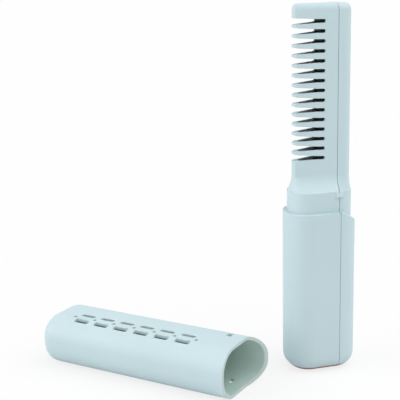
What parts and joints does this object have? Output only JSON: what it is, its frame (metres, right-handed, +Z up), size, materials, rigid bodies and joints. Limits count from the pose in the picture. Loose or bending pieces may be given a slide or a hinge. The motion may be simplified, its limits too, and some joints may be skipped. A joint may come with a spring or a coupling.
{
  "type": "cordless straightening comb",
  "caption": "Cordless straightening comb: rounded grip, slim wedge-shaped head with guard teeth over a black heating comb, and a vented cap lying beside it.",
  "frame": {"origin": "centre of the comb's flat base, which stands on the ground", "axes": "+Z up along the comb, -X towards the tips of the teeth, +X towards the spine, -Y towards the face without controls; the cap lies on its broad back at the teeth side"},
  "size_m": [0.1755, 0.1138, 0.21],
  "materials": {
    "shell": "fine satin, pale grey-blue",
    "button": "satin, pale grey-blue",
    "base_plate": "copper-coloured satin coat",
    "comb_coating": "cast aluminium with a black ceramic coat",
    "steel": "plain sheet steel",
    "dark_plastic": "moulded black plastic",
    "light_guide": "clear moulded plastic",
    "led": "clear lens over a yellow chip",
    "board": "green solder mask",
    "cell": "blue shrink sleeve over a steel can",
    "cradle": "off-white moulded plastic",
    "red_lead": "red lead cover",
    "black_lead": "black lead cover",
    "white_lead": "white lead cover",
    "heat_plastic": "brown heat-proof plastic",
    "ceramic": "off-white ceramic plates",
    "film": "amber insulating film",
    "fuse": "pale sleeve"
  },
  "bodies": {
    "comb": {"main_shell": "shell", "spine_cover": "shell", "end_cap": "base_plate", "end_cap_screws": "steel", "tactile_switch": "steel", "light_guide": "light_guide", "indicator_leds": "led", "control_board": "board", "board_chips": "dark_plastic", "board_screws": "steel", "battery_cells": "cell", "battery_tabs": "steel", "battery_cradle": "cradle", "battery_leads": "red_lead", "charge_board": "board", "charge_screws": "steel", "charge_leads": "black_lead", "usb_port": "steel", "heating_comb": "comb_coating", "comb_seats": "heat_plastic", "ceramic_heaters": "ceramic", "heater_film": "film", "heater_clamp": "steel", "clamp_screws": "steel", "thermistor": "dark_plastic", "thermal_fuse": "fuse", "heater_leads": "white_lead"},
    "button": {"power_button": "button", "switch_plunger": "dark_plastic"},
    "cap": {"cap_shell": "shell"}
  },
  "joints": [
    {"name": "button_press", "type": "slide", "parent": "comb", "child": "button", "axis": [0, -1, 0], "range_m": [0, 0.0006], "stiffness_N_per_m": 2000},
    {"name": "cap_slide", "type": "slide", "parent": "comb", "child": "cap", "axis": [-0.7034, 0.7108, 0], "range_m": [0, 0.05]}
  ]
}
